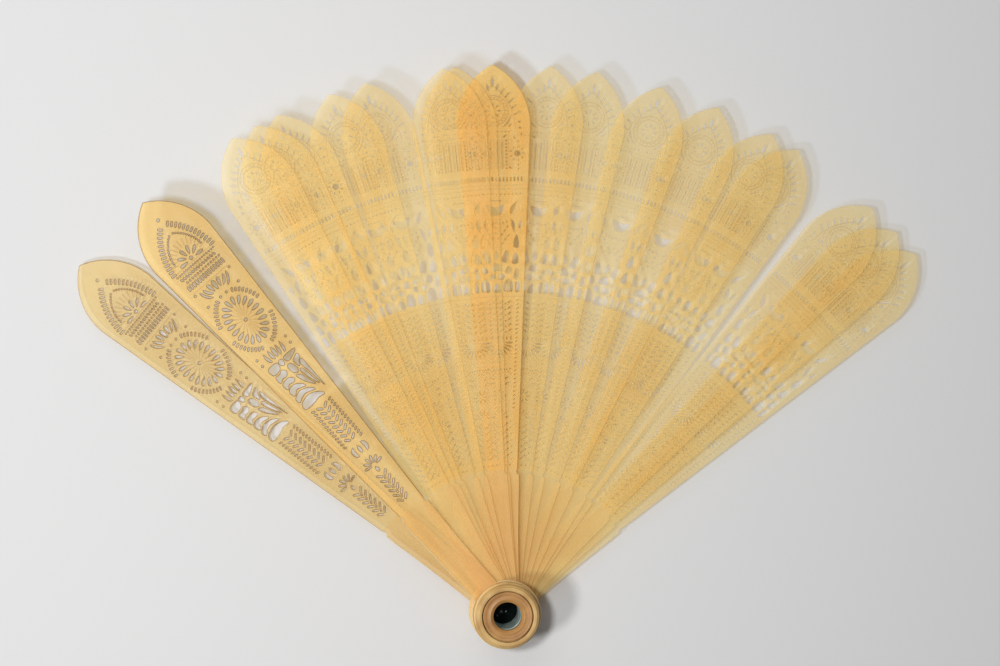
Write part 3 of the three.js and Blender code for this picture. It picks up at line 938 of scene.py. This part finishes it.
def turned_mesh(name, profile, finish, solid=False):
    """Points r cos a, r sin a, z for each profile point and angle a, with poles closed."""
    profile = np.asarray(profile, float)
    ring = profile[1:-1] if solid else profile
    angle = 2 * np.pi * np.arange(SIDES) / SIDES
    x = ring[:, :1] * np.cos(angle)
    y = ring[:, :1] * np.sin(angle)
    z = np.repeat(ring[:, 1:], SIDES, 1)
    points = np.stack([x, y, z], 2).reshape(-1, 3)
    across = np.roll(np.arange(SIDES), -1)
    level = np.arange(len(ring) - 1 if solid else len(ring))[:, None] * SIDES
    above = (level + SIDES) % len(points)
    here = np.arange(SIDES)
    quads = np.stack([level + here, level + across, above + across, above + here], 2).reshape(-1, 4)
    faces = quads.tolist()
    if solid:
        first, last = len(points), len(points) + 1
        ends = [(0, 0, profile[0, 1]), (0, 0, profile[-1, 1])]
        points = np.concatenate([points, ends])
        top = len(ring) * SIDES - SIDES
        faces += [(first, b, a) for a, b in zip(here.tolist(), across.tolist())]
        faces += [(last, top + a, top + b) for a, b in zip(here.tolist(), across.tolist())]
    mesh = bpy.data.meshes.new(name)
    mesh.from_pydata((points * MM).tolist(), [], faces)
    mesh.materials.append(finish)
    mesh.shade_smooth()
    mesh.set_sharp_from_angle(angle=SHARP)
    return mesh


def round_over(radius, height, size, start, end, count=5):
    """Profile points on an arc about (radius, height), for a rounded edge or a bead."""
    return arc(radius, height, size, np.radians(start), np.radians(end), count).tolist()


print("turned pieces have", SIDES, "sides")

# %% [markdown]
# Turned horn is the same horn as the sticks, but thick, so it lets no picture through. It is a
# solid shader with fine lathe lines that run round the axis and slow clouds: brown amber for
# the collars and the rings, and grey for the barrel, whose bore shows in the mouth.

# %% Turned horn and glass
def turned_horn(name, pale, deep, roughness, lines):
    """Thick horn with clouds and fine lathe lines, which follow radius and height."""
    material, start = blank_material(name)
    place = start.node("TexCoord", output="Object")
    cloud = start.node("TexNoise", None, {"Vector": place, "Scale": 160.0, "Detail": 4.0})
    x, y, z = start.node("SeparateXYZ", None, {"Vector": place}).outputs("XYZ")
    radius = (x * x + y * y) ** 0.5
    path = start.node("CombineXYZ", None, {"X": radius, "Y": z})
    turning = start.node("TexNoise", None, {"Vector": path, "Scale": 2600.0, "Detail": 2.0})
    depth = (cloud * 0.8 + turning * 0.35).rise(0.35, 0.85)
    colour = depth.tint(pale, deep)
    relief = start.node("Bump", None, {"Strength": lines, "Distance": 0.0001, "Height": turning})
    shader = start.node("BsdfPrincipled", None, {
        "Base Color": colour, "Roughness": roughness + 0.15 * turning, "IOR": 1.55,
        "Specular IOR Level": 0.3, "Coat Weight": 0.1, "Coat Roughness": 0.25, "Normal": relief,
    })
    return finish_material(material, shader)


collar_horn = turned_horn("turned_collar_horn", linear(212, 178, 116), linear(166, 126, 72), 0.38, 0.5)
ring_horn = turned_horn("turned_ring_horn", linear(182, 136, 80), linear(138, 94, 48), 0.4, 0.4)
tube_horn = turned_horn("grey_tube_horn", linear(214, 220, 216), linear(176, 182, 178), 0.5, 0.3)


def lens_glass(name, least):
    """Clear glass that shows what is behind it, and is a black mirror by at least some share."""
    material, start = blank_material(name)
    facing = start.node("LayerWeight", None, {"Blend": 0.25}, output="Fresnel")
    clear = start.node("BsdfTransparent", None, {"Color": (0.95, 0.98, 0.97, 1.0)})
    solid = start.node("BsdfPrincipled", None, {
        "Base Color": (0.006, 0.009, 0.009, 1.0), "Roughness": 0.14, "IOR": 1.52,
        "Specular IOR Level": 0.06,
    })
    share = least + facing * 0.4
    return finish_material(material, start.node("MixShader", None, {0: share, 1: clear, 2: solid}))


clear_glass = lens_glass("clear_glass", 0.05)
# The eyepiece's glass is nearly all black mirror: painted shade for the dark bottom of the bore.
painted_shade_glass = lens_glass("painted_shade_glass", 0.8)
pivot_finishes = (collar_horn, ring_horn, tube_horn, clear_glass, painted_shade_glass)
print("finishes of the pivot:", [finish.name for finish in pivot_finishes])

# %% [markdown]
# ## The pivot
#
# The barrel goes through every head. Its ends are bored out to a seat for each lens. Light from
# the left falls on the right wall of its grey bore. The eyepiece glass at its far end is painted
# nearly black, as painted shade for the dark bottom of the bore. The collars hold the stack
# between them: a foot, a cove, a rounded bead and a flat rim with a pocket. All heights follow
# from the solids' boxes.

# %% Barrel
BARREL_RADIUS = 6.0
LIGHT_BORE = 4.0
LENS_SEAT = 5.0
LENS_RADIUS = 4.7
BARREL_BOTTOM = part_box("pivot_barrel")[0].z / MM
BARREL_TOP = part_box("pivot_barrel")[1].z / MM
REAR_SHOULDER = BARREL_BOTTOM + 1.8
FRONT_SHOULDER = BARREL_TOP - 3.4

barrel = turned_mesh("bored_barrel", [
    (LENS_SEAT, BARREL_BOTTOM), (BARREL_RADIUS - 0.1, BARREL_BOTTOM), (BARREL_RADIUS, BARREL_BOTTOM + 0.1),
    (BARREL_RADIUS, BARREL_TOP - 0.1), (BARREL_RADIUS - 0.1, BARREL_TOP), (LENS_SEAT, BARREL_TOP),
    (LENS_SEAT, FRONT_SHOULDER), (LIGHT_BORE, FRONT_SHOULDER), (LIGHT_BORE, REAR_SHOULDER),
    (LENS_SEAT, REAR_SHOULDER),
], tube_horn)
add_piece("bored_barrel", barrel, "pivot_barrel", "pivot")
print("barrel from", round(BARREL_BOTTOM, 2), "to", round(BARREL_TOP, 2), "mm")

# %% Collars
COLLAR_BORE = 6.3
RING_POCKET = 7.3
RIM_RADIUS = 8.2
BEAD_RADIUS = 9.0
FOOT_RADIUS = 9.4

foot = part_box("front_collar")[0].z / MM
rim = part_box("front_collar")[1].z / MM
front = turned_mesh("beaded_front_collar", [
    (COLLAR_BORE, foot), *round_over(FOOT_RADIUS - 0.12, foot + 0.12, 0.12, -90, 0, 3),
    *round_over(FOOT_RADIUS - 0.15, foot + 0.5, 0.15, 0, 80, 4),
    *round_over(FOOT_RADIUS + 0.1, foot + 1.55, 0.95, 245, 155, 7),
    *round_over(BEAD_RADIUS - 1.05, rim - 1.3, 1.05, -35, 62, 9),
    *round_over(RIM_RADIUS, rim - 0.18, 0.18, 60, 90, 3),
    *round_over(RING_POCKET + 0.15, rim - 0.15, 0.15, 90, 180, 4),
    (RING_POCKET, foot + 2.65), (COLLAR_BORE, foot + 2.65),
], collar_horn)
add_piece("beaded_front_collar", front, "front_collar", "pivot")

rear = turned_mesh("rear_collar_of_horn", [
    *round_over(RING_POCKET + 0.12, 0.12, 0.12, 180, 270, 3), *round_over(RIM_RADIUS, 0.8, 0.8, -90, 0, 7),
    (BEAD_RADIUS - 0.05, 1.2), (BEAD_RADIUS - 0.2, 1.5), *round_over(FOOT_RADIUS - 0.3, 2.0, 0.3, -45, 0, 4),
    (FOOT_RADIUS, 2.3), (FOOT_RADIUS - 0.1, 2.4), (COLLAR_BORE, 2.4), (COLLAR_BORE, 1.5), (RING_POCKET, 1.5),
], collar_horn)
add_piece("rear_collar_of_horn", rear, "rear_collar", "pivot")
print("front collar", round(rim - foot, 2), "mm high, on a foot", 2 * FOOT_RADIUS, "mm across")

# %% [markdown]
# The objective's ring fills the pocket of the front collar. Its face is a little dished, and
# its mouth is bevelled down to the lens. The eyepiece's ring is plain and flat.

# %% Rings
RING_RADIUS = 7.0
LENS_TOP = FRONT_SHOULDER + 1.8
flange = BARREL_TOP + 0.3
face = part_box("objective_ring")[1].z / MM

objective_ring = turned_mesh("dished_objective_ring", [
    (LIGHT_BORE, LENS_TOP + 0.3), (LENS_RADIUS, LENS_TOP + 0.3), (LENS_RADIUS, flange),
    (RING_RADIUS - 0.08, flange), (RING_RADIUS, flange + 0.08),
    *round_over(RING_RADIUS - 0.2, face - 0.2, 0.2, 0, 90),
    (6.5, face - 0.06), (6.0, face - 0.11), (5.5, face - 0.12), (5.1, face - 0.06), (4.92, face),
    (4.75, face - 0.06), (4.3, face - 0.42), (LIGHT_BORE, face - 0.72),
], ring_horn)
add_piece("dished_objective_ring", objective_ring, "objective_ring", "pivot")

eyepiece_ring = turned_mesh("flat_eyepiece_ring", [
    *round_over(LIGHT_BORE + 0.15, 0.35, 0.15, 180, 270, 4), *round_over(RING_RADIUS - 0.2, 0.4, 0.2, -90, 0),
    (RING_RADIUS, 1.22), (RING_RADIUS - 0.08, 1.3), (LIGHT_BORE + 0.08, 1.3), (LIGHT_BORE, 1.22),
], ring_horn)
add_piece("flat_eyepiece_ring", eyepiece_ring, "eyepiece_ring", "pivot")
print("objective ring's face at", round(face, 2), "mm")

# %% [markdown]
# ## The lenses
#
# A spyglass of this kind has a lens that bulges both ways in front and one that is hollow on
# the inner side at the eye. The curves are parts of spheres, worked out from their sagitta.

# %% Lenses
def dome(radius, height, rise, count=9):
    """Profile points of a cap of a sphere, from its rim at a radius to the axis."""
    sphere = (radius ** 2 + rise ** 2) / (2 * abs(rise))
    r = np.linspace(radius, 0, count)
    drop_here = sphere - np.sqrt(sphere ** 2 - r ** 2)
    return np.stack([r, height + np.sign(rise) * (abs(rise) - drop_here)], 1).tolist()


seat = FRONT_SHOULDER + 0.3
objective_lens = turned_mesh("objective_glass", [
    *dome(3.7, seat, -0.6)[::-1], (LENS_RADIUS - 0.1, seat), (LENS_RADIUS, seat + 0.1),
    (LENS_RADIUS, seat + 1.4), (LENS_RADIUS - 0.1, seat + 1.5), *dome(3.8, seat + 1.5, 0.8),
], clear_glass, solid=True)
add_piece("objective_glass", objective_lens, "objective_lens", "pivot")

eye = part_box("eyepiece_lens")[0].z / MM
back = REAR_SHOULDER - 0.3
eyepiece_lens = turned_mesh("eyepiece_glass", [
    (0, eye), (3.5, eye), (3.6, eye + 0.1), (3.6, BARREL_BOTTOM), (LENS_RADIUS, BARREL_BOTTOM),
    (LENS_RADIUS, back), *dome(LIGHT_BORE, back, -1.6),
], painted_shade_glass, solid=True)
add_piece("eyepiece_glass", eyepiece_lens, "eyepiece_lens", "pivot")
print("lenses sit at", round(seat, 2), "and", round(eye, 2), "mm")
